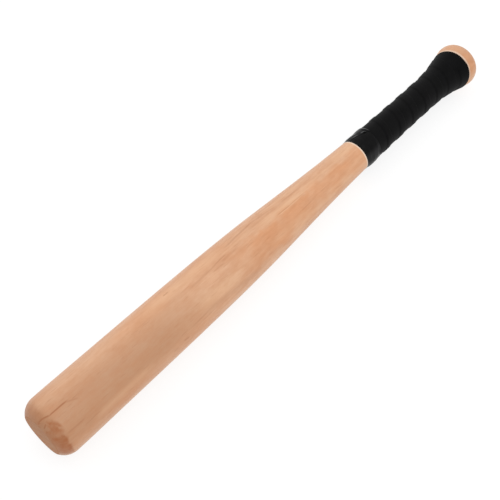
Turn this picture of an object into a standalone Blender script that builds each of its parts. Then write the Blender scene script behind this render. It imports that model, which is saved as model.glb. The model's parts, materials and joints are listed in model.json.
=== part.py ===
"""A small wooden baseball bat: one turned billet, a wound grip tape and its finishing tape.

Distances along the bat are measured from the flat barrel end, in metres. Names ending in
_FROM_KNOB are measured from the flat knob end instead. The bat lies on the floor (z = 0) as
it would on a table: on its barrel and on the rim of its knob, with the knob towards +X.
"""
from math import atan2, ceil, cos, exp, pi, radians, sin, sqrt

import bmesh
import bpy
import numpy as np
from mathutils import Euler, Vector
from mathutils.bvhtree import BVHTree

# Billet: overall size
BAT_LENGTH = 0.540
BARREL_DIAMETER = 0.053
HANDLE_DIAMETER = 0.0276
KNOB_DIAMETER = 0.043

# Billet: barrel end and taper
BARREL_FACE_DIAMETER = 0.0374
BARREL_EDGE_LENGTH = 0.0132
BARREL_PARALLEL_END = 0.026
BARREL_BACK_AT = 0.180
BARREL_BACK_DIAMETER = 0.0488
SHOULDER_AT = 0.240
SHOULDER_DIAMETER = 0.0448
TAPER_AT = 0.300
TAPER_DIAMETER = 0.0376

# Billet: handle, flare and knob
HANDLE_START_FROM_KNOB = 0.080
FLARE_START_FROM_KNOB = 0.061
KNOB_CREST_FROM_KNOB = 0.011
KNOB_FRONT_RADIUS = 0.012
KNOB_BACK_DIAMETER = 0.025

# Grip tape: one strip wound from the knob towards the barrel
GRIP_TAPE_WIDTH = 0.026
GRIP_TAPE_THICKNESS = 0.0005
GRIP_TAPE_LAP = 0.0050
GRIP_KNOB_LAP = 0.0115
GRIP_LAP_SETTLES = 3.0
GRIP_END_FROM_KNOB = 0.020
GRIP_END_SLANT_SHARE = 0.276
GRIP_END_SLANT_ANGLE = radians(115.0)
GRIP_TIP_WIDTH = 0.0055
GRIP_START_ANGLE = radians(225.0)

# Finishing tape: holds the barrel end of the grip tape down
FINISH_START_FROM_KNOB = 0.1665
FINISH_TAPE_WIDTH = 0.0193
FINISH_TAPE_THICKNESS = 0.0003
FINISH_ON_WOOD = 0.0045
FINISH_CLIMB = 0.0032
FINISH_TURNS = 1.3
FINISH_START_ANGLE = radians(40.0)

# Clearances between pieces, and between the turns of one strip
PIECE_GAP = 0.0003
LAP_GAP = 0.00046
FINISH_LAP_GAP = 0.00052
LAP_RAMP = 0.0016

# Facets: the sides of the billet are also the steps of one turn of tape
SIDES = 36
TAPER_RING_SPACING = 0.020
EDGE_RINGS = 6
FLARE_RINGS = 8
KNOB_FRONT_RINGS = 3

STEP = 2.0 * pi / SIDES
BARREL_RADIUS = BARREL_DIAMETER / 2
HANDLE_RADIUS = HANDLE_DIAMETER / 2
KNOB_RADIUS = KNOB_DIAMETER / 2
BARREL_FACE_RADIUS = BARREL_FACE_DIAMETER / 2
KNOB_BACK_RADIUS = KNOB_BACK_DIAMETER / 2
HANDLE_START = BAT_LENGTH - HANDLE_START_FROM_KNOB
FLARE_START = BAT_LENGTH - FLARE_START_FROM_KNOB
KNOB_CREST = BAT_LENGTH - KNOB_CREST_FROM_KNOB
GRIP_END = BAT_LENGTH - GRIP_END_FROM_KNOB
FINISH_START = BAT_LENGTH - FINISH_START_FROM_KNOB
GRIP_START = FINISH_START + FINISH_ON_WOOD
GRIP_PITCH = GRIP_TAPE_WIDTH - GRIP_TAPE_LAP
GRIP_KNOB_PITCH = GRIP_TAPE_WIDTH - GRIP_KNOB_LAP
GRIP_END_SLANT = GRIP_KNOB_PITCH * GRIP_END_SLANT_SHARE


def clear_scene():
    for scene_object in list(bpy.data.objects):
        bpy.data.objects.remove(scene_object, do_unlink=True)


def plain_material(name, color, roughness):
    material = bpy.data.materials.new(name)
    material.use_nodes = True
    shader = material.node_tree.nodes["Principled BSDF"]
    shader.inputs["Base Color"].default_value = (*color, 1.0)
    shader.inputs["Roughness"].default_value = roughness
    shader.inputs["Metallic"].default_value = 0.0
    return material


# The turned outline of the billet

def tangent_arc(run, rise):
    """Radius of the arc that rises by `rise` over `run` and ends parallel to the axis."""
    return (run * run + rise * rise) / (2.0 * rise)


def spline_slopes(stations):
    """Slopes of a smooth cubic through (place, radius) stations: conical at first, level at the end."""
    count = len(stations)
    matrix = np.eye(count)
    rhs = np.zeros(count)
    rhs[0] = (stations[1][1] - stations[0][1]) / (stations[1][0] - stations[0][0])
    for i in range(1, count - 1):
        before = stations[i][0] - stations[i - 1][0]
        after = stations[i + 1][0] - stations[i][0]
        matrix[i, i - 1:i + 2] = 1 / before, 2 / before + 2 / after, 1 / after
        rhs[i] = 3 * ((stations[i][1] - stations[i - 1][1]) / before ** 2
                      + (stations[i + 1][1] - stations[i][1]) / after ** 2)
    return np.linalg.solve(matrix, rhs)


TAPER_STATIONS = [
    (BARREL_PARALLEL_END, BARREL_RADIUS),
    (BARREL_BACK_AT, BARREL_BACK_DIAMETER / 2),
    (SHOULDER_AT, SHOULDER_DIAMETER / 2),
    (TAPER_AT, TAPER_DIAMETER / 2),
    (HANDLE_START, HANDLE_RADIUS),
]
TAPER_SLOPES = spline_slopes(TAPER_STATIONS)


def taper_radius(at):
    i = 0
    while i < len(TAPER_STATIONS) - 2 and at > TAPER_STATIONS[i + 1][0]:
        i += 1
    (start, r0), (end, r1) = TAPER_STATIONS[i:i + 2]
    run = end - start
    t = (at - start) / run
    return ((2 * t**3 - 3 * t**2 + 1) * r0 + (t**3 - 2 * t**2 + t) * run * TAPER_SLOPES[i]
            + (3 * t**2 - 2 * t**3) * r1 + (t**3 - t**2) * run * TAPER_SLOPES[i + 1])


def flare_arcs():
    """Radius of the flare's hollow arc, and the angle at which the knob's front arc takes over."""
    run = KNOB_CREST - FLARE_START
    turn = 2.0 * atan2(KNOB_RADIUS - HANDLE_RADIUS, run)
    return run / sin(turn) - KNOB_FRONT_RADIUS, turn


def wood_radius(at):
    """Radius of the billet at a distance from its barrel end."""
    if at < BARREL_EDGE_LENGTH:
        arc = tangent_arc(BARREL_EDGE_LENGTH, BARREL_RADIUS - BARREL_FACE_RADIUS)
        return BARREL_RADIUS - arc + sqrt(arc * arc - (BARREL_EDGE_LENGTH - at) ** 2)
    if at < BARREL_PARALLEL_END:
        return BARREL_RADIUS
    if at < HANDLE_START:
        return taper_radius(at)
    if at < FLARE_START:
        return HANDLE_RADIUS
    hollow, turn = flare_arcs()
    if at < FLARE_START + hollow * sin(turn):
        return HANDLE_RADIUS + hollow - sqrt(hollow * hollow - (at - FLARE_START) ** 2)
    if at < KNOB_CREST:
        return KNOB_RADIUS - KNOB_FRONT_RADIUS + sqrt(KNOB_FRONT_RADIUS ** 2 - (KNOB_CREST - at) ** 2)
    share = min((at - KNOB_CREST) / KNOB_CREST_FROM_KNOB, 1.0)
    return KNOB_BACK_RADIUS + (KNOB_RADIUS - KNOB_BACK_RADIUS) * sqrt(1.0 - share * share)


def ring_places():
    """Places of the billet's rings: close on the rounded ends and the flare, wide on the taper."""
    places = [0.0]
    arc = tangent_arc(BARREL_EDGE_LENGTH, BARREL_RADIUS - BARREL_FACE_RADIUS)
    sweep = atan2(BARREL_EDGE_LENGTH, arc - BARREL_RADIUS + BARREL_FACE_RADIUS)
    for i in range(1, EDGE_RINGS + 1):
        places.append(BARREL_EDGE_LENGTH - arc * sin(sweep * (1 - i / EDGE_RINGS)))
    taper_rings = ceil((HANDLE_START - BARREL_PARALLEL_END) / TAPER_RING_SPACING)
    places += list(np.linspace(BARREL_PARALLEL_END, HANDLE_START, taper_rings + 1))
    hollow, turn = flare_arcs()
    for i in range(FLARE_RINGS + 1):
        places.append(FLARE_START + hollow * sin(turn * i / FLARE_RINGS))
    for i in range(1, KNOB_FRONT_RINGS + 1):
        places.append(KNOB_CREST - KNOB_FRONT_RADIUS * sin(turn * (1 - i / KNOB_FRONT_RINGS)))
    for i in range(1, EDGE_RINGS + 1):
        places.append(KNOB_CREST + KNOB_CREST_FROM_KNOB * sin(pi / 2 * i / EDGE_RINGS))
    return places


def step_angle(step):
    """Angle from +Y towards +Z: step 0 is half a facet past the lowest point, so facets lie flat."""
    return (step + 0.5) * STEP - pi / 2


def on_bat(at, radius, step):
    angle = step_angle(step)
    return Vector((at, radius * cos(angle), radius * sin(angle)))


# How the bat lies on the floor

def resting_rings(rings):
    """The two rings that touch the floor: the longest side of the outline's hull."""
    hull = []
    for ring in rings:
        while len(hull) > 1:
            (x0, r0), (x1, r1) = hull[-2:]
            if (r1 - r0) * (ring[0] - x0) > (ring[1] - r0) * (x1 - x0):
                break
            hull.pop()
        hull.append(ring)
    return max(zip(hull, hull[1:]), key=lambda side: side[1][0] - side[0][0])


def add_bat_axis(rings):
    """An empty that carries every piece, sloped and raised so that the bat rests on z = 0."""
    (barrel_at, barrel_r), (knob_at, knob_r) = resting_rings(rings)
    flat = cos(STEP / 2)
    slope = atan2((barrel_r - knob_r) * flat, knob_at - barrel_at)
    length_x = BAT_LENGTH * cos(slope) + (KNOB_BACK_RADIUS - BARREL_FACE_RADIUS) * flat * sin(slope)
    axis = bpy.data.objects.new("bat_axis", None)
    axis.empty_display_type = "ARROWS"
    axis.rotation_euler = Euler((0.0, slope, 0.0))
    axis.location = (-length_x / 2, 0.0, barrel_at * sin(slope) + barrel_r * flat * cos(slope))
    bpy.context.scene.collection.objects.link(axis)
    return axis


def add_piece(name, mesh_data, material, axis):
    bmesh.ops.recalc_face_normals(mesh_data, faces=mesh_data.faces)
    mesh = bpy.data.meshes.new(name)
    mesh_data.to_mesh(mesh)
    mesh_data.free()
    mesh.shade_smooth()
    mesh.set_sharp_from_angle(angle=radians(35.0))
    mesh.materials.append(material)
    piece = bpy.data.objects.new(name, mesh)
    piece.parent = axis
    bpy.context.scene.collection.objects.link(piece)
    return piece


def add_billet(rings, axis):
    """The turned wood: the outline spun round the axis, with a flat face at each end."""
    shape = bmesh.new()
    outline = [shape.verts.new(on_bat(at, radius, 0)) for at, radius in rings]
    edges = [shape.edges.new(pair) for pair in zip(outline, outline[1:])]
    bmesh.ops.spin(shape, geom=outline + edges, cent=(0, 0, 0), axis=(1, 0, 0), angle=2 * pi,
                   steps=SIDES, use_merge=True)
    rims = [edge for edge in shape.edges if edge.is_boundary]
    bmesh.ops.holes_fill(shape, edges=rims, sides=SIDES)
    return add_piece("billet", shape, plain_material("lacquered_wood", (0.70, 0.42, 0.25), 0.42), axis)


# Tape

def strip_mesh(sections):
    """One closed strip through sections, each a list of (under, over) points across the tape."""
    shape = bmesh.new()
    loops = []
    for section in sections:
        under = [shape.verts.new(pair[0]) for pair in section]
        over = [shape.verts.new(pair[1]) for pair in section]
        loops.append(under + over[::-1])
    count = len(loops[0])
    for loop, after in zip(loops, loops[1:]):
        for i in range(count):
            j = (i + 1) % count
            shape.faces.new((loop[i], loop[j], after[j], after[i]))
    for loop in (loops[0], loops[-1]):
        for i in range(count // 2 - 1):
            shape.faces.new((loop[i], loop[i + 1], loop[count - 2 - i], loop[count - 1 - i]))
    return shape


def least_gap(sections):
    """Least distance between stretches of one strip that lie more than half a turn apart."""
    corners = [[point for pair in section for point in pair] for section in sections]
    half_turn = SIDES // 2
    least = 1.0
    for first in range(0, len(corners) - 1, half_turn):
        stretch = corners[first:first + half_turn + 1]
        width = len(stretch[0])
        faces = []
        for row in range(len(stretch) - 1):
            for i in range(width - 2):
                a, b = row * width + i, row * width + i + 2
                faces.append((a, b, b + width, a + width))
        tree = BVHTree.FromPolygons([point for row in stretch for point in row], faces)
        for later in corners[first + 2 * half_turn + 1:]:
            middles = [(a + b) / 2 for a, b in zip(later, later[2:])]
            for point in later + middles:
                least = min(least, tree.find_nearest(point)[3])
    return least


def grip_edge(step):
    """Place of the grip tape's barrel-side edge, which moves from the knob towards the barrel."""
    turns = step / SIDES
    settling = (GRIP_PITCH - GRIP_KNOB_PITCH) * GRIP_LAP_SETTLES * (1 - exp(-turns / GRIP_LAP_SETTLES))
    return GRIP_END - GRIP_TIP_WIDTH - GRIP_PITCH * turns + settling


def grip_steps():
    """Steps of the winding: it ends once the turn before it reaches the grip's barrel end."""
    step = 0
    while grip_edge(step - SIDES) > GRIP_START:
        step += 1
    return step


GRIP_STEPS = grip_steps()
GRIP_FIRST_STEP = round(GRIP_START_ANGLE / STEP)


def grip_end(step):
    """Place of the grip's knob end, which is cut at a slant and reaches furthest on one side."""
    aside = step_angle(GRIP_FIRST_STEP + step) - GRIP_END_SLANT_ANGLE
    return GRIP_END + GRIP_END_SLANT * cos(aside)


def grip_span(step):
    """Both edges of the grip tape at a step, cut off at the ends of the grip."""
    edge = grip_edge(step)
    return max(edge, GRIP_START), min(edge + GRIP_TAPE_WIDTH, grip_end(step))


def grip_lift(step, at):
    """How far the tape's underside is lifted off the wood's clearance by the turn below it."""
    below = step - SIDES
    if below < -1:
        return 0.0
    edge = grip_edge(max(below, 0))
    share = (at - edge + LAP_GAP + LAP_RAMP) / LAP_RAMP
    return (GRIP_TAPE_THICKNESS + LAP_GAP) * min(max(share, 0.0), 1.0)


def grip_under(step, at):
    return wood_radius(at) + PIECE_GAP + grip_lift(step, at)


def grip_places(step):
    """Places across the tape: its edges, the width the next turn covers, and the climb on a turn."""
    low, high = grip_span(step)
    sliver = 0.0002
    edge_below = grip_edge(max(step - SIDES, 0)) if step >= SIDES - 1 else high
    climbed = min(max(edge_below - LAP_GAP, low + 3 * sliver), high - sliver)
    climb = min(max(edge_below - LAP_GAP - LAP_RAMP, low + 2 * sliver), climbed - sliver)
    covered = grip_edge(step + SIDES) + GRIP_TAPE_WIDTH
    covered = min(max(covered, low + sliver), climb - sliver)
    return [low, covered, climb, climbed, high]


def add_grip_tape(axis):
    sections = []
    for step in range(GRIP_STEPS + 1):
        section = []
        for at in grip_places(step):
            under = grip_under(step, at)
            turn_step = GRIP_FIRST_STEP + step
            section.append((on_bat(at, under, turn_step),
                            on_bat(at, under + GRIP_TAPE_THICKNESS, turn_step)))
        sections.append(section)
    print(f"grip_tape: {GRIP_STEPS / SIDES:.2f} turns, least gap to itself "
          f"{least_gap(sections) * 1000:.3f} mm")
    return add_piece("grip_tape", strip_mesh(sections),
                     plain_material("grip_tape", (0.012, 0.012, 0.013), 0.6), axis)


def grip_top(turn_step, at):
    """Outer radius of whatever the finishing tape lies on: grip tape or bare wood."""
    top = wood_radius(at)
    step = (turn_step - GRIP_FIRST_STEP) % SIDES
    while step <= GRIP_STEPS:
        low, high = grip_span(step)
        if low <= at <= high:
            top = max(top, grip_under(step, at) + GRIP_TAPE_THICKNESS)
        step += SIDES
    return top


def finish_under(turn_step, at, reach):
    """Underside of the finishing tape, bridging what lies within `reach` beside each place."""
    spots = [at + reach * share for share in (-1.0, -0.5, 0.0, 0.5, 1.0)]
    return max(grip_top(turn_step + side, spot) for spot in spots for side in (-1, 0, 1)) + PIECE_GAP


def add_finishing_tape(axis):
    raised_from = GRIP_START - PIECE_GAP
    finish_end = FINISH_START + FINISH_TAPE_WIDTH
    spans = ceil((finish_end - raised_from) / 0.003)
    places = [FINISH_START, raised_from - FINISH_CLIMB]
    places += list(np.linspace(raised_from, finish_end, spans + 1))
    reach = (finish_end - raised_from) / spans
    steps = round(FINISH_TURNS * SIDES)
    first = round(FINISH_START_ANGLE / STEP)
    sections = []
    for step in range(steps + 1):
        lapped = FINISH_TAPE_THICKNESS + FINISH_LAP_GAP if step >= SIDES - 1 else 0.0
        section = []
        for at in places:
            if at < raised_from:
                under = wood_radius(at) + PIECE_GAP
            else:
                under = finish_under(first + step, at, reach)
            under += lapped
            section.append((on_bat(at, under, first + step),
                            on_bat(at, under + FINISH_TAPE_THICKNESS, first + step)))
        sections.append(section)
    print(f"finishing_tape: {FINISH_TURNS:.2f} turns, least gap to itself "
          f"{least_gap(sections) * 1000:.3f} mm")
    return add_piece("finishing_tape", strip_mesh(sections),
                     plain_material("finishing_tape", (0.016, 0.016, 0.018), 0.38), axis)


def main():
    clear_scene()
    rings = [(at, wood_radius(at)) for at in ring_places()]
    axis = add_bat_axis(rings)
    add_billet(rings, axis)
    add_grip_tape(axis)
    add_finishing_tape(axis)
    bpy.context.view_layer.update()
    for label, place in (("barrel end", 0.0), ("knob end", BAT_LENGTH)):
        spot = axis.matrix_world @ Vector((place, 0.0, 0.0))
        print(f"{label} face centre: {spot.x:.5f} {spot.y:.5f} {spot.z:.5f} m")
    direction = axis.matrix_world.to_3x3() @ Vector((1.0, 0.0, 0.0))
    print(f"axis towards the knob: {direction.x:.6f} {direction.y:.6f} {direction.z:.6f}")


main()
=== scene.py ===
"""The finish of a small wooden baseball bat: turned wood under lacquer, and its wound tape grip.

Places along the bat are distances from the flat barrel end, in metres, and angles round it run from
+Y towards +Z. Each piece is modelled with its axis on X and its barrel end at the origin, and is
then laid down where the frame has it.
"""
from math import atan2, cos, degrees, exp, pi, radians, sin, sqrt

import bpy
import numpy as np
from mathutils import Matrix, Vector
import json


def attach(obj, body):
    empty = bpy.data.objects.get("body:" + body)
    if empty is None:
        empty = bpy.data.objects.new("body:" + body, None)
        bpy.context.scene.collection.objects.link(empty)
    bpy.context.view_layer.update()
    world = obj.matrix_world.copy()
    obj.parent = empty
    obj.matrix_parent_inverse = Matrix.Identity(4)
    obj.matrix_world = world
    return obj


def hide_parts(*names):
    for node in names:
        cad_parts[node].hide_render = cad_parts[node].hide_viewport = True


bl_info = {
    "name": "Wooden Bat Finish",
    "version": (1, 0, 0),
    "blender": (4, 5, 0),
    "location": "View3D > Sidebar > Bat",
    "description": "Models a turned wooden bat with its wound grip, and the stage it lies on",
    "category": "Object",
}

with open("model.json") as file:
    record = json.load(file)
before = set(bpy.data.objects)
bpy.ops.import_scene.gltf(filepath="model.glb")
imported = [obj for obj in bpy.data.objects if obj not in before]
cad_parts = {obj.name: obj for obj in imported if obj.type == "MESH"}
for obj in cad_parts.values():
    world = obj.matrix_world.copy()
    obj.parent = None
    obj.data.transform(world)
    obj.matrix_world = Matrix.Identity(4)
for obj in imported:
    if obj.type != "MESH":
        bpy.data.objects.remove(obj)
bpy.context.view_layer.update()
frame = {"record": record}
MOUNTS = {mount["name"]: mount for mount in frame["record"]["mounts"]}
BARREL_END = Vector(MOUNTS["barrel_end"]["pos_m"])
KNOB_END = Vector(MOUNTS["knob_end"]["pos_m"])
AXIS = (KNOB_END - BARREL_END).normalized()
LYING = Matrix.Translation(BARREL_END) @ Matrix.Rotation(atan2(-AXIS.z, AXIS.x), 4, "Y")

TURN = 2 * pi

# Points of the billet's outline, its sides, the distance at which points are joined, and the angle
# up to which it is shaded smooth
FACE_SHARES = (0.25, 0.5, 0.75, 0.95)
CORNER_POINTS = 6
EDGE_POINTS = 16
SIDE_POINTS = 110
FLARE_POINTS = 30
KNOB_POINTS = 22
BILLET_SIDES = 160
WELD = 0.000002
BILLET_SMOOTH = radians(40.0)

# Steps of the tapes, per turn and across their width, and the angles up to which a tape is shaded
# smooth and from which its edges are softened
GRIP_STEPS = 96
GRIP_ACROSS = 30
BAND_STEPS = 150
BAND_ACROSS = 50
STRIP_SMOOTH = radians(60.0)
STRIP_EDGE = radians(50.0)

# Grip tape: its gap to the wood and to its own turns, and its softened corner
GRIP_GAP = 0.0001
TURN_GAP = 0.00003
GRIP_CORNER = 0.00022
# Turns over which its second turn rises on the first, and how far before an edge the climb ends
SECOND_TURN_RISE = (0.96, 0.99)
CLIMB_AHEAD = 0.0002
# Wander of its edge: height, radians per turn of the tape, and phase
EDGE_WANDER = ((0.00025, 4.3, 0.6), (0.00018, 10.7, 0.0))

# Finishing tape: its gap to what is below, its softened corner, and the slack of its lap
BAND_GAP = 0.00003
BAND_CORNER = 0.00006
LAP_SLACK = 1.1
# Turns over which it rises on its own start, and over which its tail goes askew
BAND_LAP = (0.97, 0.995)
ASKEW = (0.80, 1.16)
# How far it bridges the steps of the grip, along the bat and round it, and how late its tail slants
BRIDGE = 0.0012
BRIDGE_ANGLE = 0.04
SLANT_POWER = 6
# Creases in its tail: place from its barrel-side edge, distance back from its end, half width, half
# length round the handle, and height
TAIL_CREASES = (
    (0.0045, 0.0000, 0.0030, 0.0010, 0.00024),
    (0.0060, 0.0058, 0.0050, 0.0015, 0.00032),
    (0.0142, 0.0004, 0.0013, 0.0012, 0.00090),
    (0.0178, 0.0048, 0.0012, 0.0040, 0.00060),
)

# Streaks: place where each starts and ends, its angle there in degrees, its half width in degrees,
# and how strong it is. A streak fades in and out over a share of its length.
STREAK_FADE = 0.18
DARK_STREAKS = (
    # Barrel end
    (0.0006, 0.0022, 89.5, 91.5, 3.6, 0.52),
    (0.0015, 0.0100, 88.5, 98.0, 3.0, 0.62),
    (0.0095, 0.0260, 98.4, 98.6, 2.2, 0.68),
    (0.0014, 0.0042, 106.0, 103.0, 3.2, 0.50),
    (0.0006, 0.0018, 117.0, 114.5, 3.2, 0.50),
    (0.0068, 0.0090, 140.0, 142.0, 4.5, 0.50),
    (0.0110, 0.0280, 141.5, 141.0, 3.0, 0.26),
    (0.0250, 0.0340, 99.0, 107.5, 2.6, 0.22),
    # Barrel
    (0.1170, 0.1220, 168.5, 167.5, 3.2, 0.26),
    (0.1290, 0.1345, 164.0, 165.5, 3.2, 0.36),
    (0.1405, 0.1455, 67.0, 67.8, 2.6, 0.40),
    (0.140, 0.190, 152.0, 151.0, 2.4, 0.22),
    (0.148, 0.198, 158.5, 157.0, 2.6, 0.16),
    (0.160, 0.182, 94.0, 91.0, 3.6, 0.20),
    (0.160, 0.222, 151.0, 166.0, 11.0, 0.20),
    (0.176, 0.192, 92.8, 90.9, 2.8, 0.24),
    (0.184, 0.196, 99.6, 101.2, 2.4, 0.22),
    (0.190, 0.203, 90.9, 88.6, 2.8, 0.34),
    (0.196, 0.214, 96.5, 93.0, 3.4, 0.16),
    # Shoulder and taper
    (0.208, 0.244, 74.6, 66.6, 4.2, 0.32),
    (0.226, 0.300, 80.5, 77.0, 5.0, 0.17),
    (0.240, 0.270, 67.0, 75.0, 3.4, 0.22),
    (0.264, 0.280, 98.4, 99.9, 2.2, 0.30),
    (0.274, 0.330, 77.6, 73.4, 2.3, 0.28),
    (0.278, 0.302, 99.9, 96.8, 2.0, 0.22),
    (0.285, 0.311, 128.0, 125.3, 2.8, 0.26),
    (0.340, 0.364, 88.0, 89.8, 2.4, 0.26),
    # Knob
    (0.516, 0.545, 118.0, 118.0, 80.0, 0.13),
    (0.5245, 0.5320, 122.0, 138.0, 13.0, 0.22),
)
PALE_STREAKS = (
    # Barrel
    (0.038, 0.092, 155.5, 155.0, 12.0, 0.30),
    (0.118, 0.200, 71.0, 72.0, 20.0, 0.38),
    (0.158, 0.200, 138.0, 138.0, 26.0, 0.34),
    # Shoulder and taper
    (0.200, 0.240, 84.5, 80.0, 4.0, 0.30),
    (0.244, 0.296, 90.0, 92.0, 20.0, 0.32),
    (0.246, 0.292, 138.0, 140.0, 12.0, 0.26),
    (0.262, 0.376, 155.0, 158.0, 14.0, 0.34),
    (0.264, 0.318, 63.0, 60.0, 9.0, 0.32),
    (0.265, 0.290, 101.5, 100.6, 2.4, 0.55),
    (0.268, 0.312, 92.0, 94.0, 7.0, 0.36),
    (0.300, 0.345, 84.0, 86.0, 5.0, 0.35),
    (0.318, 0.350, 143.0, 145.0, 9.0, 0.26),
    (0.318, 0.372, 99.0, 101.0, 4.5, 0.25),
    (0.345, 0.376, 66.0, 64.0, 11.0, 0.42),
    (0.345, 0.376, 80.0, 80.0, 12.0, 0.42),
    (0.345, 0.376, 134.0, 136.0, 16.0, 0.26),
)
# Upper lobe of the soaked patch of the barrel end, and the gaps in that patch, given as streaks
SOAKED_LOBE = (0.0050, 0.0116, 106.0, 121.0, 11.0, 1.00)
SOAKED_GAPS = (
    (0.0015, 0.0080, 129.0, 138.0, 7.0, 0.36),
    (0.0000, 0.0040, 102.0, 112.0, 12.0, 0.85),
)
# Painted glints on the finishing tape's creases, and a painted sheen on its lower side, given as
# streaks
PAINTED_GLINTS_AND_SHEEN = (
    (0.3875, 0.3912, 68.0, 73.0, 4.2, 1.00),
    (0.3932, 0.3950, 56.0, 78.0, 8.0, 0.90),
    (0.3800, 0.3840, 58.0, 62.0, 3.6, 0.55),
    (0.3740, 0.3940, 154.0, 154.0, 22.0, 0.15),
)
# Roughness of the worn knob-side edge of the finishing tape, given as a streak
DULL_EDGE = (0.3890, 0.3960, 165.0, 165.0, 50.0, 0.70)

# Places along the bat between which a layer of the wood comes in or changes its strength
# The first two rows: stretches over which the painted shade of the barrel fades out
SHADE_AND_HEART_REACH = (0.188, 0.108)
DARKER_END = (0.12, 0.0)
FAR_RIM_REACH = (0.026, 0.010)
WARM_START = (0.190, 0.240)
CALM_START = (0.335, 0.360)
ROSY_REACH = (0.24, 0.12)
FIGURE_START = (0.12, 0.20)
BLOTCH_REACH = (0.26, 0.16)
CUT_REACH = (0.10, 0.03)
SOAKED_REACH = (0.0110, 0.0084)
SOAKED_START = (-0.0010, 0.0045)
STAIN_REACH = (0.0100, 0.0040)
RING_ENDS = (0.5, 0.1)
# Distances from the axis, on the flat ends, between which the streaks and the soaked patch come in
OFF_FACE = (0.0180, 0.0196)
SOAKED_RADII = (0.0125, 0.0185)
# Growth rings of the flat ends: how far they are turned, and how strongly they bow
RING_TURN = radians(35.0)
RING_BOW = 6.0

# Sides of the wood, as angles in degrees
# Side of the barrel with painted shade over browner heartwood, and its lower part
SHADE_AND_HEART_SIDE = 120.0
LOW_SHADE_AND_HEART_SIDE = 147.0
FAR_RIM_SIDE = 45.0
WARM_SIDE = 129.0
ROSY_GAP_SIDE = 128.0
SOAKED_SIDE = 150.0
STAINED_SIDE = 56.0
# Noises of the wood: scale along and across the bat, detail, roughness and offset
WOOD_NOISES = {
    "wander": (30, 70, 2.0, 0.5, (0, 0, 0)),
    "bands": (17, 105, 2.0, 0.5, (0, 0, 0)),
    "strands": (52, 230, 3.0, 0.6, (0, 0, 0)),
    "flecks": (170, 330, 2.0, 0.5, (0, 0, 0)),
    "mottle": (42, 75, 4.0, 0.6, (0, 0, 0)),
    "blush": (75, 120, 3.0, 0.5, (0.1, 0.4, 0.2)),
    "fibres": (24, 900, 4.0, 0.6, (0, 0, 0)),
    "patches": (16, 42, 2.0, 0.5, (0.3, 0.1, 0.0)),
    "dashes": (65, 800, 2.0, 0.5, (0, 0, 0)),
    "blots": (60, 90, 2.0, 0.5, (0, 0, 0)),
}
# Range that the values of a noise fill
NOISE_LOW = 0.3
NOISE_HIGH = 0.7
# How much paler the grip tape is where it is rubbed
RUBBED_GRIP = 1.7

# Lights: name, setting that holds its power, diameter, and place from the point that they face
LIGHTS = (
    ("key_light", "key_power", 1.2, (0.0, 0.63, 1.36)),
    ("back_light", "back_power", 1.0, (0.0, 1.35, 0.45)),
    ("top_light", "top_power", 1.2, (0.0, -0.51, 1.41)),
)
FLOOR_SIDES = 96
FLOOR_RADIUS = 6.0
FLOOR_DROP = 0.0002
SENSOR_WIDTH = 36.0
CAMERA_REACH = 50.0


# Sizes and colours that a user would change

def length(name, default, description):
    return bpy.props.FloatProperty(name=name, description=description, default=default,
                                   unit="LENGTH", precision=5)


def angle(name, default, description):
    return bpy.props.FloatProperty(name=name, description=description, default=radians(default),
                                   subtype="ANGLE")


def number(name, default, description):
    return bpy.props.FloatProperty(name=name, description=description, default=default)


def color(name, default, description):
    return bpy.props.FloatVectorProperty(name=name, description=description, default=default,
                                         subtype="COLOR", min=0.0, max=1.0)


class BatSizes(bpy.types.PropertyGroup):
    bat_length: length("Bat Length", (KNOB_END - BARREL_END).length, "From end face to end face")
    barrel_diameter: length("Barrel Diameter", 0.053, "Widest part of the barrel")
    face_diameter: length("Barrel Face", 0.0374, "Flat face of the barrel end")
    edge_length: length("Barrel Edge", 0.0132, "How far the rounding of the barrel end reaches")
    parallel_end: length("Parallel End", 0.026, "Where the barrel starts to narrow")
    barrel_back: length("Barrel Back", 0.180, "Where the cone of the barrel ends")
    barrel_back_diameter: length("Barrel Back Diameter", 0.0488, "Diameter there")
    shoulder: length("Shoulder", 0.240, "Place of the shoulder")
    shoulder_diameter: length("Shoulder Diameter", 0.0448, "Diameter there")
    taper: length("Taper", 0.300, "Middle of the taper")
    taper_diameter: length("Taper Diameter", 0.0376, "Diameter there")
    handle_diameter: length("Handle Diameter", 0.0276, "Thinnest part of the handle")
    handle_to_knob: length("Handle to Knob", 0.080, "From the thinnest part to the knob's back")
    flare_to_knob: length("Flare to Knob", 0.061, "From the start of the flare to the knob's back")
    crest_to_knob: length("Crest to Knob", 0.011, "From the knob's widest part to its back")
    knob_diameter: length("Knob Diameter", 0.043, "Widest part of the knob")
    knob_front_radius: length("Knob Front", 0.012, "Rounding between flare and knob")
    knob_back_diameter: length("Knob Back", 0.025, "Flat middle of the knob's back")
    corner: length("Corner", 0.0007, "Softened corner of the barrel end face")


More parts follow.
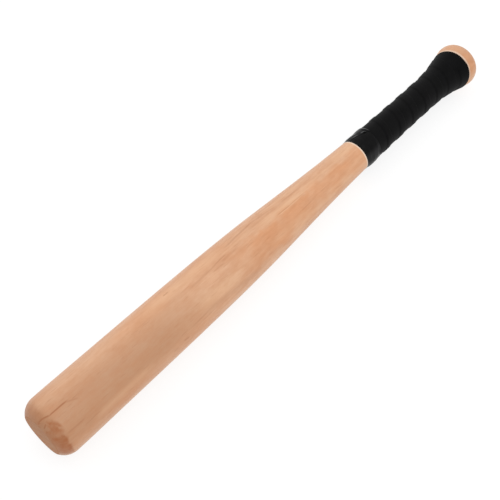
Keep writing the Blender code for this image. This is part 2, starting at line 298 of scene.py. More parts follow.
class TapeSizes(bpy.types.PropertyGroup):
    grip_width: length("Grip Tape Width", 0.026, "Width of the grip tape")
    grip_thickness: length("Grip Tape Thickness", 0.0005, "Thickness of the grip tape")
    grip_pitch: length("Grip Pitch", 0.021, "Advance of one turn on the handle")
    knob_pitch: length("Knob Pitch", 0.0145, "Advance of the first turn at the knob")
    settling: number("Settling", 3.0, "Turns after which the pitch is that of the handle")
    tip_width: length("Tip Width", 0.0055, "Width of the grip tape where it starts")
    grip_end_to_knob: length("Grip to Knob", 0.020, "From the end of the grip to the knob's back")
    end_slant: length("End Slant", 0.0040, "How far the slanted grip end reaches past its mean")
    end_slant_angle: angle("End Slant Angle", 115.0, "Side on which the grip reaches furthest")
    grip_start_angle: angle("Grip Start", 135.0, "Where round the handle the tape starts")
    climb: length("Climb", 0.0019, "Length over which a turn climbs on the one below")
    band_to_knob: length("Band to Knob", 0.1665, "From the finishing tape to the knob's back")
    band_width: length("Band Width", 0.0193, "Width of the finishing tape")
    band_thickness: length("Band Thickness", 0.00011, "Thickness of the finishing tape")
    band_on_wood: length("Band on Wood", 0.0045, "How far it reaches past the grip tape")
    band_turns: number("Band Turns", 1.322, "Turns of the finishing tape")
    band_start_angle: angle("Band Start", -45.0, "Where round the handle it starts")
    tail_slant: angle("Tail Slant", 28.0, "How much further the tail reaches on its knob side")
    tail_drift: length("Tail Drift", 0.0020, "How far the tail lies askew, towards the knob")
    tail_lift: length("Tail Lift", 0.00005, "How far the loose end of the tail stands off")
    tail_curl: length("Tail Curl", 0.0020, "How far from its end the tail lifts")


class BatColors(bpy.types.PropertyGroup):
    wood: color("Wood", (0.672, 0.402, 0.250), "Pale wood under lacquer")
    # Colour of the barrel's darker side: painted shade over browner heartwood
    shade_and_heartwood: color("Heartwood", (0.500, 0.280, 0.164), "Darker side of the barrel")
    flushed_wood: color("Flushed Wood", (0.97, 0.81, 0.69), "Tint of the warm side")
    late_wood: color("Late Wood", (0.46, 0.185, 0.078), "Darker strands of the grain")
    pores: color("Pores", (0.30, 0.102, 0.038), "Short dark dashes and streaks in the grain")
    pale_streak: color("Pale Streak", (0.74, 0.46, 0.28), "Pale streaks in the grain")
    # Painted highlight: the pale line along the wood where a tape ends
    painted_edge_highlight: color("Rubbed Wood", (0.79, 0.63, 0.50), "Pale line where a tape ends")
    end_grain: color("End Grain", (0.370, 0.190, 0.102), "Cut ends of the grain")
    soaked_end: color("Soaked End", (0.350, 0.124, 0.047), "Patch that drank the lacquer")
    grip: color("Grip Tape", (0.0018, 0.0018, 0.0019), "Matt black foam tape")
    band: color("Finishing Tape", (0.0022, 0.0022, 0.0023), "Smooth black vinyl")
    # Colour of the painted glints and painted sheen on the finishing tape
    glint_and_sheen_band: color("Creased Tape", (0.075, 0.075, 0.077), "Vinyl that went pale")


class StageSettings(bpy.types.PropertyGroup):
    camera_turn: angle("Camera Turn", 42.716, "Level direction of the view, from +X towards +Y")
    camera_drop: angle("Camera Drop", 56.43, "How steeply the camera looks down")
    camera_distance: length("Camera Distance", 0.8374, "From the camera to the bat's axis")
    camera_lens: number("Camera Lens", 70.56, "Focal length in millimetres")
    aim: length("Aim", 0.2320, "Place on the bat's axis that the camera looks at")
    aim_aside: length("Aim Aside", 0.00034, "How far the aim lies beside the axis")
    light_aim: length("Light Aim", 0.330, "Place on the bat's axis that the lights face")
    floor: color("Floor", (0.20, 0.20, 0.20), "Pale floor")
    floor_glow: number("Floor Glow", 0.82, "Evens out the floor as a lit table does")
    key_power: number("Key Power", 3.0, "Large soft light from the upper left")
    back_power: number("Back Power", 0.9, "Low soft light from the far side")
    top_power: number("Top Power", 4.5, "Large soft light from above")
    room: number("Room Light", 0.88, "Even light from the room")


# Modelling by hand

def select_only(piece):
    bpy.ops.object.select_all(action="DESELECT")
    piece.select_set(True)
    bpy.context.view_layer.objects.active = piece


def lay_down(piece):
    """Puts a piece modelled along X where the frame's bat lies, with its place in its mesh."""
    select_only(piece)
    piece.matrix_world = LYING
    bpy.ops.object.transform_apply(location=True, rotation=True, scale=True)


def apply_modifiers(piece):
    select_only(piece)
    for modifier in list(piece.modifiers):
        bpy.ops.object.modifier_apply(modifier=modifier.name)


def face_outwards(piece):
    select_only(piece)
    bpy.ops.object.mode_set(mode="EDIT")
    bpy.ops.mesh.select_all(action="SELECT")
    bpy.ops.mesh.normals_make_consistent(inside=False)
    bpy.ops.object.mode_set(mode="OBJECT")


def ramp(value, start, end):
    """Rises evenly from 0 to 1 between start and end."""
    return min(max((value - start) / (end - start), 0.0), 1.0)


def smooth(share):
    """Softens both ends of a ramp."""
    return share * share * (3 - 2 * share)


# The turned outline

def spline_slopes(stations):
    """Slopes of a smooth cubic through (place, radius) stations: conical first, level last."""
    count = len(stations)
    matrix = np.eye(count)
    rhs = np.zeros(count)
    rhs[0] = (stations[1][1] - stations[0][1]) / (stations[1][0] - stations[0][0])
    for i in range(1, count - 1):
        before = stations[i][0] - stations[i - 1][0]
        after = stations[i + 1][0] - stations[i][0]
        matrix[i, i - 1:i + 2] = 1 / before, 2 / before + 2 / after, 1 / after
        rhs[i] = 3 * ((stations[i][1] - stations[i - 1][1]) / before ** 2
                      + (stations[i + 1][1] - stations[i][1]) / after ** 2)
    return np.linalg.solve(matrix, rhs)


class Outline:
    """Radius of the billet along its axis."""

    def __init__(self, sizes):
        self.length = sizes.bat_length
        self.barrel = sizes.barrel_diameter / 2
        self.face = sizes.face_diameter / 2
        self.edge = sizes.edge_length
        self.parallel_end = sizes.parallel_end
        self.handle = sizes.handle_diameter / 2
        self.knob = sizes.knob_diameter / 2
        self.knob_back = sizes.knob_back_diameter / 2
        self.front = sizes.knob_front_radius
        self.crest_to_knob = sizes.crest_to_knob
        self.handle_start = self.length - sizes.handle_to_knob
        self.flare_start = self.length - sizes.flare_to_knob
        self.crest = self.length - sizes.crest_to_knob
        self.stations = [(self.parallel_end, self.barrel),
                         (sizes.barrel_back, sizes.barrel_back_diameter / 2),
                         (sizes.shoulder, sizes.shoulder_diameter / 2),
                         (sizes.taper, sizes.taper_diameter / 2),
                         (self.handle_start, self.handle)]
        self.slopes = spline_slopes(self.stations)
        rise = self.barrel - self.face
        self.edge_arc = (self.edge ** 2 + rise ** 2) / (2 * rise)
        run = self.crest - self.flare_start
        self.flare_turn = 2 * atan2(self.knob - self.handle, run)
        self.hollow = run / sin(self.flare_turn) - self.front

    def taper_radius(self, at):
        i = 0
        while i < len(self.stations) - 2 and at > self.stations[i + 1][0]:
            i += 1
        (start, r0), (end, r1) = self.stations[i:i + 2]
        run = end - start
        t = (at - start) / run
        return ((2 * t**3 - 3 * t**2 + 1) * r0 + (t**3 - 2 * t**2 + t) * run * self.slopes[i]
                + (3 * t**2 - 2 * t**3) * r1 + (t**3 - t**2) * run * self.slopes[i + 1])

    def radius(self, at):
        if at < self.edge:
            return self.barrel - self.edge_arc + sqrt(self.edge_arc ** 2 - (self.edge - at) ** 2)
        if at < self.parallel_end:
            return self.barrel
        if at < self.handle_start:
            return self.taper_radius(at)
        if at < self.flare_start:
            return self.handle
        if at < self.flare_start + self.hollow * sin(self.flare_turn):
            return self.handle + self.hollow - sqrt(self.hollow ** 2 - (at - self.flare_start) ** 2)
        if at < self.crest:
            return self.knob - self.front + sqrt(self.front ** 2 - (self.crest - at) ** 2)
        share = min((at - self.crest) / self.crest_to_knob, 1.0)
        return self.knob_back + (self.knob - self.knob_back) * sqrt(1 - share * share)


def outline_points(outline, corner):
    """The outline from pole to pole: end face, softened corner, side, knob and its back."""
    points = [(0.0, 0.0)]
    points += [(0.0, (outline.face - corner) * share) for share in FACE_SHARES]
    slope_back = atan2(outline.edge, outline.edge_arc - outline.barrel + outline.face)
    along = Vector((cos(slope_back), sin(slope_back)))
    start = Vector((0.0, outline.face - corner))
    middle = Vector((0.0, outline.face))
    end = middle + corner * along
    for t in np.linspace(0.0, 1.0, CORNER_POINTS):
        spot = start * (1 - t) ** 2 + middle * 2 * t * (1 - t) + end * t * t
        points.append((spot.x, spot.y))
    for first, last, count in ((end.x, outline.edge, EDGE_POINTS),
                               (outline.edge, outline.flare_start, SIDE_POINTS),
                               (outline.flare_start, outline.crest, FLARE_POINTS)):
        points += [(at, outline.radius(at)) for at in np.linspace(first, last, count)[1:]]
    for bend in np.linspace(0.0, pi / 2, KNOB_POINTS)[1:]:
        at = outline.crest + outline.crest_to_knob * sin(bend)
        points.append((at, outline.radius(at)))
    points += [(outline.length, outline.knob_back * share) for share in (*FACE_SHARES[::-1], 0.0)]
    return points


# Materials

def opaque(rgb):
    return (*rgb, 1.0)


class Nodes:
    """Adds nodes to a material and links them, so that a finish reads from top to bottom."""

    def __init__(self, name):
        self.material = bpy.data.materials.new(name)
        self.material.use_nodes = True
        self.tree = self.material.node_tree
        self.shader = self.tree.nodes["Principled BSDF"]

    def put(self, value, socket):
        """Links an output to a socket, or sets a plain value on the socket itself."""
        if isinstance(value, bpy.types.NodeSocket):
            self.tree.links.new(value, socket)
        else:
            socket.default_value = value

    def surface(self, values):
        for name, value in values.items():
            self.put(value, self.shader.inputs[name])

    def add(self, kind, inputs=None, **settings):
        node = self.tree.nodes.new(kind)
        for key, value in settings.items():
            setattr(node, key, value)
        for key, value in (inputs or {}).items():
            self.put(value, node.inputs[key])
        return node

    def math(self, operation, a, b=0.0, clamp=False):
        node = self.add("ShaderNodeMath", {0: a, 1: b}, operation=operation, use_clamp=clamp)
        return node.outputs[0]

    def product(self, first, *factors):
        for factor in factors:
            first = self.math("MULTIPLY", first, factor)
        return first

    def total(self, first, *terms):
        """Sum of all terms, held between 0 and 1."""
        for term in terms[:-1]:
            first = self.math("ADD", first, term)
        return self.math("ADD", first, terms[-1], clamp=True)

    def spread(self, value, low, high, to_low=0.0, to_high=1.0):
        """Softly maps the range from low to high onto the range from to_low to to_high."""
        node = self.add("ShaderNodeMapRange", {"Value": value, "From Min": low, "From Max": high,
                                               "To Min": to_low, "To Max": to_high},
                        interpolation_type="SMOOTHSTEP")
        return node.outputs["Result"]

    def noise(self, vector, scale, detail, roughness):
        node = self.add("ShaderNodeTexNoise", {"Vector": vector, "Scale": scale,
                                               "Detail": detail, "Roughness": roughness})
        return node.outputs["Fac"]

    def sway(self, noise, low, high):
        """A number that a noise moves between low and high."""
        return self.spread(noise, NOISE_LOW, NOISE_HIGH, low, high)

    def mapped(self, vector, scale=(1, 1, 1), location=(0, 0, 0), rotation=(0, 0, 0)):
        node = self.add("ShaderNodeMapping", {"Vector": vector, "Location": location,
                                              "Rotation": rotation, "Scale": scale})
        return node.outputs["Vector"]

    def mix(self, share, a, b, blend="MIX"):
        node = self.add("ShaderNodeMix", data_type="RGBA", blend_type=blend)
        for name, value in (("Factor", share), ("A", a), ("B", b)):
            self.put(value, node.inputs[name])
        return node.outputs["Result"]

    def bump(self, height, strength, distance):
        inputs = {"Height": height, "Strength": strength, "Distance": distance}
        return self.add("ShaderNodeBump", inputs).outputs["Normal"]


class BatNodes(Nodes):
    """Nodes of a finish that follows the bat: x runs along it, and around is the angle round it."""

    def __init__(self, name):
        super().__init__(name)
        coordinates = self.add("ShaderNodeTexCoord").outputs["Object"]
        back = LYING.inverted()
        self.place = self.mapped(coordinates, location=back.to_translation(),
                                 rotation=back.to_euler())
        split = self.add("ShaderNodeSeparateXYZ", {"Vector": self.place})
        self.x = split.outputs["X"]
        self.around = self.math("ARCTAN2", split.outputs["Z"], split.outputs["Y"])

    def streak(self, start, end, angle_at_start, angle_at_end, half_width, strength):
        """Mask of one streak, which drifts round the bat a little as it runs along."""
        slope = radians(angle_at_end - angle_at_start) / (end - start)
        course = self.math("ADD", self.product(self.x, slope),
                           radians(angle_at_start) - slope * start)
        aside = self.math("ABSOLUTE", self.math("SUBTRACT", self.around, course))
        across = self.spread(aside, radians(half_width), 0.0, 0.0, strength)
        fade = STREAK_FADE * (end - start)
        along = self.product(self.spread(self.x, start - fade, start + fade),
                             self.spread(self.x, end + fade, end - fade))
        return self.product(across, along)


class WoodNodes(BatNodes):
    """Nodes of the lacquered wood, with a mask for each of its layers."""

    def __init__(self):
        super().__init__("lacquered_wood")
        self.noises = {}
        for name, (along, across, detail, roughness, offset) in WOOD_NOISES.items():
            stretched = self.mapped(self.place, scale=(along, across, across), location=offset)
            self.noises[name] = self.noise(stretched, 1.0, detail, roughness)
        self.around = self.math("ADD", self.around,
                                self.sway(self.noises["wander"], -0.022, 0.022))
        section = self.mapped(self.place, scale=(0, 1, 1))
        outward = self.add("ShaderNodeVectorMath", {0: section}, operation="NORMALIZE")
        self.outward = outward.outputs["Vector"]
        radius = self.add("ShaderNodeVectorMath", {0: section}, operation="LENGTH")
        self.radius = radius.outputs["Value"]
        normal = self.add("ShaderNodeTexCoord").outputs["Normal"]
        end_on = self.add("ShaderNodeVectorMath", {0: normal, 1: AXIS}, operation="DOT_PRODUCT")
        self.end_on = self.math("ABSOLUTE", end_on.outputs["Value"])

    def toward(self, side):
        """How far the surface points to an angle round the bat: 1 for straight at it."""
        direction = (0.0, cos(radians(side)), sin(radians(side)))
        node = self.add("ShaderNodeVectorMath", {0: self.outward, 1: direction},
                        operation="DOT_PRODUCT")
        return node.outputs["Value"]

    def facing(self, side, low, high, to_low=0.0, to_high=1.0):
        return self.spread(self.toward(side), low, high, to_low, to_high)

    def shade_and_heart(self):
        """Painted shade over browner heartwood: the darker side of the barrel and its darker end,
        and the far rim of its end.
        """
        shade_and_heart = self.math("ADD", self.facing(SHADE_AND_HEART_SIDE, 0.60, 0.97, 0.0, 0.65),
                          self.facing(LOW_SHADE_AND_HEART_SIDE, 0.55, 0.95, 0.0, 0.35))
        shade_and_heart = self.product(shade_and_heart, self.spread(self.x, *SHADE_AND_HEART_REACH))
        rim = self.product(self.facing(FAR_RIM_SIDE, 0.55, 0.95),
                           self.spread(self.x, *FAR_RIM_REACH, 0.0, 0.25))
        return self.total(shade_and_heart, self.spread(self.x, *DARKER_END, 0.0, 0.25), rim)

    def flush(self):
        """The warm side of the taper, warm patches all over, and rosy ones beside the shaded side.
        """
        blush = self.noises["blush"]
        patches = self.noises["patches"]
        warm = self.math("ADD", self.toward(WARM_SIDE), self.sway(blush, -0.07, 0.07))
        warm = self.product(self.spread(warm, 0.74, 0.99),
                            self.spread(self.x, *WARM_START),
                            self.spread(patches, 0.30, 0.55, 0.60, 0.96),
                            self.spread(self.x, *CALM_START, 1.0, 0.68))
        rosy = self.product(self.spread(patches, 0.38, 0.62),
                            self.spread(self.x, *ROSY_REACH, 0.0, 0.30),
                            self.facing(ROSY_GAP_SIDE, 0.97, 0.80))
        return self.total(warm, self.spread(patches, 0.50, 0.75, 0.0, 0.25),
                          self.spread(blush, 0.35, 0.65, 0.0, 0.16), rosy)

    def figure(self):
        """Bands, strands, fine fibres and flecks, and blotches that are strongest on the barrel."""
        figure = self.math("ADD",
                           self.product(self.spread(self.noises["strands"], 0.32, 0.68), 0.68),
                           self.product(self.spread(self.noises["bands"], 0.35, 0.65), 0.26))
        figure = self.product(figure, self.spread(self.x, *FIGURE_START, 0.16, 0.30),
                              self.spread(self.x, *CALM_START, 1.0, 0.76))
        blotches = self.product(self.sway(self.noises["mottle"], 0.0, 1.0),
                                self.spread(self.x, *BLOTCH_REACH, 0.03, 0.13))
        return self.total(figure, self.sway(self.noises["fibres"], -0.01, 0.12),
                          self.sway(self.noises["flecks"], -0.02, 0.09),
                          self.math("SUBTRACT", blotches, 0.06))

    def dark_lines(self):
        """Short dark pores all over, and the dark streaks, which stop at the flat faces."""
        lines = self.product(self.spread(self.noises["dashes"], 0.62, 0.76), 0.24)
        off_face = self.spread(self.radius, *OFF_FACE)
        for row in DARK_STREAKS:
            lines = self.math("MAXIMUM", lines, self.product(self.streak(*row), off_face))
        return lines

    def edge_highlights(self, sizes, tape):
        """Painted highlights: pale lines where the tapes end, before the finishing tape and past
        the slanted grip.
        """
        band = sizes.bat_length - tape.band_to_knob
        by_band = self.product(self.spread(self.x, band - 0.0017, band - 0.0008, 0.0, 0.85),
                               self.spread(self.x, band + 0.0115, band + 0.0025))
        grip = sizes.bat_length - tape.grip_end_to_knob
        slant = self.product(self.toward(degrees(tape.end_slant_angle)), tape.end_slant)
        past = self.math("SUBTRACT", self.x, slant)
        by_grip = self.product(self.spread(past, grip + 0.0024, grip + 0.0011, 0.0, 0.70),
                               self.spread(self.x, grip - 0.020, grip - 0.010))
        return self.math("MAXIMUM", by_band, by_grip)

    def cut_ends(self):
        """Cut grain, which shows where the surface turns to face along the bat."""
        ragged = self.math("ADD", self.end_on, self.sway(self.noises["strands"], -0.08, 0.08))
        return self.product(self.spread(ragged, -0.05, 0.98),
                            self.spread(self.x, *CUT_REACH, 0.25, 0.95),
                            self.sway(self.noises["flecks"], 0.84, 1.0))

    def soaked(self):
        """The patch of the end that drank the lacquer, the stained far rim, and the rings."""
        blots = self.noises["blots"]
        reach = self.math("ADD", self.x, self.sway(blots, -0.0014, 0.0014))
        patch = self.product(self.spread(reach, *SOAKED_REACH),
                             self.facing(SOAKED_SIDE, 0.64, 0.84))
        patch = self.math("MAXIMUM", patch, self.streak(*SOAKED_LOBE))
        for row in SOAKED_GAPS:
            patch = self.product(patch, self.math("SUBTRACT", 1.0, self.streak(*row)))
        patch = self.product(patch, self.spread(reach, *SOAKED_START, 0.40, 1.0),
                             self.spread(self.noises["blush"], 0.40, 0.58, 0.72, 1.0),
                             self.spread(self.noises["strands"], 0.35, 0.65, 0.72, 1.0))
        stain = self.product(self.spread(reach, *STAIN_REACH, 0.0, 0.31),
                             self.facing(STAINED_SIDE, 0.55, 0.92))
        patch = self.math("MAXIMUM", patch, stain)
        ragged = self.math("ADD", self.radius, self.sway(blots, -0.0022, 0.0022))
        patch = self.product(patch, self.spread(ragged, *SOAKED_RADII))
        return self.math("MAXIMUM", patch, self.end_rings())

    def end_rings(self):
        """Growth rings of the flat ends: thin lines that cross the face in a shallow bow."""
        turned = self.mapped(self.place, rotation=(RING_TURN, 0, 0))
        split = self.add("ShaderNodeSeparateXYZ", {"Vector": turned})
        y = split.outputs["Y"]
        bent = self.math("ADD", split.outputs["Z"], self.product(y, y, RING_BOW))
        bowed = self.add("ShaderNodeCombineXYZ", {"Y": y, "Z": bent}).outputs["Vector"]
        growth = self.noise(self.mapped(bowed, scale=(1, 45, 620)), 1.0, 2.0, 0.5)
        return self.product(self.spread(growth, 0.42, 0.62),
                            self.spread(self.end_on, 0.90, 0.995),
                            self.spread(self.x, *RING_ENDS, 0.22, 0.42))


def lacquered_wood(colors, sizes, tape):
    """Pale wood under lacquer: its darker side of painted shade over browner heartwood, warm side,
    streaks, pores, cut ends, and painted highlights where the tapes end.
    """
    wood = WoodNodes()
    lines = wood.dark_lines()
    # Painted shade over browner heartwood on one side of the barrel and towards its end
    tone = wood.mix(wood.shade_and_heart(), opaque(colors.wood), opaque(colors.shade_and_heartwood))
    tone = wood.mix(wood.flush(), tone, opaque(colors.flushed_wood), "MULTIPLY")
    tone = wood.mix(wood.figure(), tone, opaque(colors.late_wood))
    for row in PALE_STREAKS:
        tone = wood.mix(wood.streak(*row), tone, opaque(colors.pale_streak))
    # Painted highlights along the wood where the tapes end
    tone = wood.mix(wood.edge_highlights(sizes, tape), tone, opaque(colors.painted_edge_highlight))
    tone = wood.mix(wood.cut_ends(), tone, opaque(colors.end_grain))
    tone = wood.mix(lines, tone, opaque(colors.pores))
    tone = wood.mix(wood.soaked(), tone, opaque(colors.soaked_end))
    fibres = wood.noises["fibres"]
    shine = wood.total(wood.sway(fibres, 0.36, 0.46),
                       wood.spread(wood.end_on, 0.80, 1.0, 0.0, 0.55))
    grain = wood.math("SUBTRACT", wood.product(fibres, 0.5), lines)
    wood.surface({
        "Base Color": tone,
        "Roughness": shine,
        "Specular IOR Level": 0.16,
        "Coat Weight": 0.06,
        "Coat Roughness": 0.18,
        "Normal": wood.bump(grain, 0.25, 0.00006),
    })
    return wood.material


def foam_tape(colors):
    """Matt black foamed tape with a fine pebbled skin."""
    foam = Nodes("grip_tape")
    place = foam.add("ShaderNodeTexCoord").outputs["Object"]
    pebbles = foam.noise(place, 2600.0, 2.0, 0.6)
    rubs = foam.noise(place, 90.0, 3.0, 0.6)
    paler = [channel * RUBBED_GRIP for channel in colors.grip]
    foam.surface({
        "Base Color": foam.mix(foam.spread(rubs, 0.35, 0.7), opaque(colors.grip), opaque(paler)),
        "Roughness": foam.sway(pebbles, 0.66, 0.80),
        "Specular IOR Level": 0.03,
        "Sheen Weight": 0.06,
        "Sheen Roughness": 0.55,
        "Normal": foam.bump(pebbles, 0.35, 0.00006),
    })
    return foam.material


def vinyl_tape(colors):
    """Smooth, slightly glossy black vinyl, with painted glints on its creases, painted sheen on its
    lower side, and dull at one edge.
    """
    vinyl = BatNodes("finishing_tape")
    stretch = vinyl.noise(vinyl.mapped(vinyl.place, scale=(900, 160, 160)), 1.0, 3.0, 0.55)
    tone = opaque(colors.band)
    # Painted glints on the creases, and painted sheen on the lower side
    for row in PAINTED_GLINTS_AND_SHEEN:
        tone = vinyl.mix(vinyl.streak(*row), tone, opaque(colors.glint_and_sheen_band))
    shine = vinyl.math("MAXIMUM", vinyl.sway(stretch, 0.24, 0.34), vinyl.streak(*DULL_EDGE))
    vinyl.surface({
        "Base Color": tone,
        "Roughness": shine,
        "Specular IOR Level": 0.075,
        "Sheen Weight": 0.04,
        "Sheen Roughness": 0.50,
        "Normal": vinyl.bump(stretch, 0.25, 0.00005),
    })
    return vinyl.material


def lit_floor(rgb, glow):
    floor = Nodes("floor")
    floor.surface({
        "Base Color": opaque(rgb),
        "Roughness": 0.9,
        "Specular IOR Level": 0.0,
        "Emission Color": opaque((1.0, 1.0, 1.0)),
        "Emission Strength": glow,
    })
    return floor.material


# Tape

class Winding:
    """The grip tape's path: it starts at the knob and each turn laps over the one before."""

    def __init__(self, outline, tape):
        self.outline = outline
        self.tape = tape
        self.end = outline.length - tape.grip_end_to_knob
        self.start = outline.length - tape.band_to_knob + tape.band_on_wood
        self.turns = 1.0
        while self.edge(self.turns - 1) > self.start:
            self.turns += 1 / GRIP_STEPS

    def edge(self, turns):
        """Place of the barrel-side edge, which wanders a little as a hand-wound tape does."""
        tape = self.tape
        settled = 1 - exp(-turns / tape.settling)
        held_back = (tape.grip_pitch - tape.knob_pitch) * tape.settling * settled
        wander = sum(height * sin(rate * turns + phase) for height, rate, phase in EDGE_WANDER)
        return self.end - tape.tip_width - tape.grip_pitch * turns + held_back + wander

    def knob_end(self, turns):
        """Place of the grip's knob end, which is cut at a slant."""
        aside = self.tape.grip_start_angle + TURN * turns - self.tape.end_slant_angle
        return self.end + self.tape.end_slant * cos(aside)

    def span(self, turns):
        edge = self.edge(turns)
        return max(edge, self.start), min(edge + self.tape.grip_width, self.knob_end(turns))

    def lift(self, turns, at):
        """Lift over the turn below, which the tape climbs just before that turn's edge."""
        rise = ramp(turns, *SECOND_TURN_RISE)
        if rise == 0.0:
            return 0.0
        top = self.edge(max(turns - 1, 0.0)) - CLIMB_AHEAD
        return self.tape.grip_thickness * rise * smooth(ramp(at, top - self.tape.climb, top))

    def under(self, turns, at):
        return self.outline.radius(at) + GRIP_GAP + self.lift(turns, at)

    def top(self, around, at):
        """Outer radius of the grip, or of the wood, at an angle and a place."""
        radius = self.outline.radius(at)
        turns = ((around - self.tape.grip_start_angle) / TURN) % 1.0
        while turns <= self.turns:
            low, high = self.span(turns)
            if low <= at <= high:
                radius = max(radius, self.under(turns, at) + self.tape.grip_thickness)
            turns += 1.0
        return radius


def add_strip(name, steps, across, place_vertex, thickness, corner):
    """A flat strip, wound by place_vertex(share along, share across), given its thickness."""
    bpy.ops.object.select_all(action="DESELECT")
    bpy.ops.mesh.primitive_grid_add(x_subdivisions=steps, y_subdivisions=across, size=1.0,
                                    calc_uvs=True)
    strip = bpy.context.object
    strip.name = name
    strip.data.name = name
    for vertex in strip.data.vertices:
        vertex.co = place_vertex(vertex.co.x + 0.5, vertex.co.y + 0.5)
    face_outwards(strip)
    middle = strip.data.polygons[len(strip.data.polygons) // 2]
    outwards = middle.normal.dot(Vector((0.0, middle.center.y, middle.center.z))) > 0
    thick = strip.modifiers.new("thickness", "SOLIDIFY")
    thick.thickness = thickness
    thick.offset = 1.0 if outwards else -1.0
    soft = strip.modifiers.new("soft edge", "BEVEL")
    soft.width = corner
    soft.segments = 2
    soft.limit_method = "ANGLE"
    soft.angle_limit = STRIP_EDGE
    apply_modifiers(strip)
    face_outwards(strip)
    bpy.ops.object.shade_smooth_by_angle(angle=STRIP_SMOOTH)
    return strip


def around_axis(at, radius, around):
    return Vector((at, radius * cos(around), radius * sin(around)))


class BAT_OT_billet(bpy.types.Operator):
    """Turn the wooden billet: draw its outline from pole to pole and spin it round the axis"""
    bl_idname = "bat.billet"
    bl_label = "Billet"
    bl_options = {"REGISTER", "UNDO"}

    def execute(self, context):
        scene = context.scene
        points = outline_points(Outline(scene.bat_sizes), scene.bat_sizes.corner)
        bpy.ops.object.select_all(action="DESELECT")
        bpy.ops.mesh.primitive_plane_add(size=0.001)
        billet = context.object
        billet.name = "turned_billet"
        bpy.ops.object.mode_set(mode="EDIT")
        bpy.ops.mesh.merge(type="CENTER")
        here = Vector((0.0, 0.0))
        for spot in (Vector(point) for point in points[1:]):
            step = spot - here
            bpy.ops.mesh.extrude_region_move(
                TRANSFORM_OT_translate={"value": (step.x, step.y, 0.0)})
            here = spot
        bpy.ops.mesh.select_all(action="SELECT")
        bpy.ops.mesh.spin(steps=BILLET_SIDES, angle=TURN, center=(0, 0, 0), axis=(1, 0, 0))
        bpy.ops.mesh.select_all(action="SELECT")
        bpy.ops.mesh.remove_doubles(threshold=WELD)
        bpy.ops.mesh.normals_make_consistent(inside=False)
        bpy.ops.object.mode_set(mode="OBJECT")
        lay_down(billet)
        bpy.ops.object.shade_smooth_by_angle(angle=BILLET_SMOOTH)
        wood = lacquered_wood(scene.bat_colors, scene.bat_sizes, scene.bat_tapes)
        billet.data.materials.append(wood)
        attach(billet, "root")
        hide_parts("billet")
        return {"FINISHED"}


class BAT_OT_grip_tape(bpy.types.Operator):
    """Wind the grip tape from the knob to the start of the taper"""
    bl_idname = "bat.grip_tape"
    bl_label = "Grip Tape"
    bl_options = {"REGISTER", "UNDO"}

    def execute(self, context):
        tape = context.scene.bat_tapes
        winding = Winding(Outline(context.scene.bat_sizes), tape)

        def place_vertex(along, across):
            turns = along * winding.turns
            low, high = winding.span(turns)
            at = low + (high - low) * across
            return around_axis(at, winding.under(turns, at), tape.grip_start_angle + TURN * turns)

        grip = add_strip("wound_grip_tape", round(winding.turns * GRIP_STEPS), GRIP_ACROSS,
                         place_vertex, tape.grip_thickness - TURN_GAP, GRIP_CORNER)
        lay_down(grip)
        grip.data.materials.append(foam_tape(context.scene.bat_colors))
        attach(grip, "root")
        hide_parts("grip_tape")
        return {"FINISHED"}


class BAT_OT_finishing_tape(bpy.types.Operator):
    """Wrap the finishing tape over the barrel end of the grip"""
    bl_idname = "bat.finishing_tape"
    bl_label = "Finishing Tape"
    bl_options = {"REGISTER", "UNDO"}

    def execute(self, context):
        tape = context.scene.bat_tapes
        winding = Winding(Outline(context.scene.bat_sizes), tape)
        band_start = winding.start - tape.band_on_wood

        def ground(around, at):
            """Surface under the band, its steps bridged and smoothed as stretched vinyl does."""
            heights = []
            for shift in (-1, 0, 1):
                near = [winding.top(around + turn, at + BRIDGE * (shift + side))
                        for side in (-1, -0.5, 0, 0.5, 1) for turn in (-BRIDGE_ANGLE, BRIDGE_ANGLE)]
                heights.append(max(near))
            return sum(heights) / len(heights)

        def creases(to_end, across):
            """How far the loose tail stands off: lifted at its end, and creased."""
            height = tape.tail_lift * exp(-to_end / tape.tail_curl)
            for crease, back, half_width, half_length, rise in TAIL_CREASES:
                aside = (across - crease) / half_width
                behind = (to_end - back) / half_length
                height += rise * exp(-aside * aside - behind * behind)
            return height

        def place_vertex(along, across):
            turns = along * tape.band_turns
            slant = tape.tail_slant * (across - 0.5) * along ** SLANT_POWER
            around = tape.band_start_angle + TURN * turns + slant
            drift = tape.tail_drift * smooth(ramp(turns, *ASKEW))
            at = band_start + tape.band_width * across + drift
            lap = ramp(turns, *BAND_LAP) * tape.band_thickness * LAP_SLACK
            radius = ground(around, at) + BAND_GAP + lap
            to_end = radius * TURN * (tape.band_turns - turns)
            raised = creases(to_end, tape.band_width * across)
            return around_axis(at, radius + raised, around)

        band = add_strip("wrapped_finishing_tape", round(tape.band_turns * BAND_STEPS), BAND_ACROSS,
                         place_vertex, tape.band_thickness, BAND_CORNER)
        lay_down(band)
        band.data.materials.append(vinyl_tape(context.scene.bat_colors))
        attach(band, "root")
        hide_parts("finishing_tape")
        return {"FINISHED"}


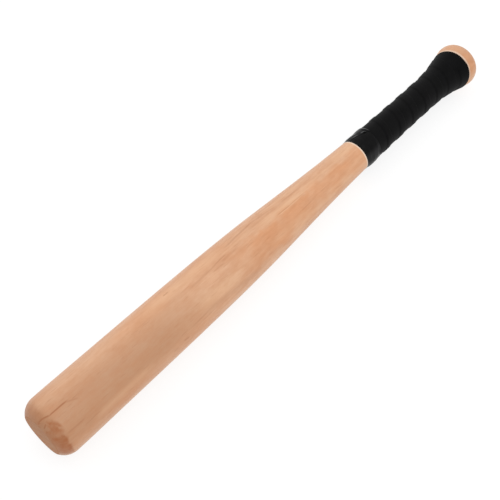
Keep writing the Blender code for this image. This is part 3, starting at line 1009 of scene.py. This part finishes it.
class BAT_OT_stage(bpy.types.Operator):
    """Lay the pale floor and place the soft lights and the camera"""
    bl_idname = "bat.stage"
    bl_label = "Stage"
    bl_options = {"REGISTER", "UNDO"}

    def execute(self, context):
        stage = context.scene.bat_stage
        self.add_floor(stage)
        self.add_lights(context, stage)
        self.add_camera(context, stage)
        context.scene.view_settings.view_transform = "Standard"
        context.scene.view_settings.look = "None"
        return {"FINISHED"}

    def add_floor(self, stage):
        bpy.ops.object.select_all(action="DESELECT")
        bpy.ops.mesh.primitive_circle_add(vertices=FLOOR_SIDES, radius=FLOOR_RADIUS,
                                          fill_type="NGON", location=(0, 0, -FLOOR_DROP))
        floor = bpy.context.object
        floor.name = "floor"
        bpy.ops.object.transform_apply(location=True)
        floor.data.materials.append(lit_floor(stage.floor, stage.floor_glow))

    def add_lights(self, context, stage):
        aim = LYING @ Vector((stage.light_aim, 0.0, 0.0))
        for name, power, size, place in LIGHTS:
            spot = Vector(place)
            bpy.ops.object.light_add(type="AREA", location=aim + spot)
            light = bpy.context.object
            light.name = name
            light.data.shape = "DISK"
            light.data.size = size
            light.data.energy = getattr(stage, power)
            light.rotation_euler = (-spot).to_track_quat("-Z", "Y").to_euler()
        world = bpy.data.worlds.new("studio")
        world.use_nodes = True
        sky = world.node_tree.nodes["Background"]
        sky.inputs["Color"].default_value = opaque((1.0, 1.0, 1.0))
        sky.inputs["Strength"].default_value = stage.room
        context.scene.world = world

    def add_camera(self, context, stage):
        turn, drop = stage.camera_turn, stage.camera_drop
        look = Vector((cos(drop) * cos(turn), cos(drop) * sin(turn), -sin(drop)))
        right = Vector((sin(turn), -cos(turn), 0.0))
        up = right.cross(look)
        on_axis = LYING @ Vector((stage.aim, 0.0, 0.0))
        along = AXIS - look * AXIS.dot(look)
        aside = look.cross(along).normalized()
        aim = on_axis + stage.aim_aside * aside * (1 if aside.dot(up) < 0 else -1)
        bpy.ops.object.camera_add(location=aim - stage.camera_distance * look,
                                  rotation=look.to_track_quat("-Z", "Y").to_euler())
        camera = bpy.context.object
        camera.name = "photo_camera"
        camera.data.sensor_width = SENSOR_WIDTH
        camera.data.lens = stage.camera_lens
        camera.data.clip_end = CAMERA_REACH
        context.scene.camera = camera


class BAT_PT_panel(bpy.types.Panel):
    """Lists the pieces of the bat and its stage"""
    bl_idname = "BAT_PT_panel"
    bl_label = "Wooden Bat"
    bl_space_type = "VIEW_3D"
    bl_region_type = "UI"
    bl_category = "Bat"

    def draw(self, context):
        for operator in OPERATORS:
            self.layout.operator(operator.bl_idname)
        for name, group in GROUPS:
            box = self.layout.box()
            for key in group.__annotations__:
                box.prop(getattr(context.scene, name), key)


GROUPS = (("bat_sizes", BatSizes), ("bat_tapes", TapeSizes),
          ("bat_colors", BatColors), ("bat_stage", StageSettings))
OPERATORS = (BAT_OT_stage, BAT_OT_billet, BAT_OT_grip_tape, BAT_OT_finishing_tape)


def register():
    for name, group in GROUPS:
        bpy.utils.register_class(group)
        setattr(bpy.types.Scene, name, bpy.props.PointerProperty(type=group))
    for operator in OPERATORS:
        bpy.utils.register_class(operator)
    bpy.utils.register_class(BAT_PT_panel)


def unregister():
    bpy.utils.unregister_class(BAT_PT_panel)
    for operator in reversed(OPERATORS):
        bpy.utils.unregister_class(operator)
    for name, group in reversed(GROUPS):
        delattr(bpy.types.Scene, name)
        bpy.utils.unregister_class(group)


def write_sizes():
    """Writes nothing: it only imports json."""
    import json


def main():
    register()
    bpy.ops.bat.stage()
    bpy.ops.bat.billet()
    bpy.ops.bat.grip_tape()
    bpy.ops.bat.finishing_tape()
    write_sizes()


if __name__ == "__main__":
    main()
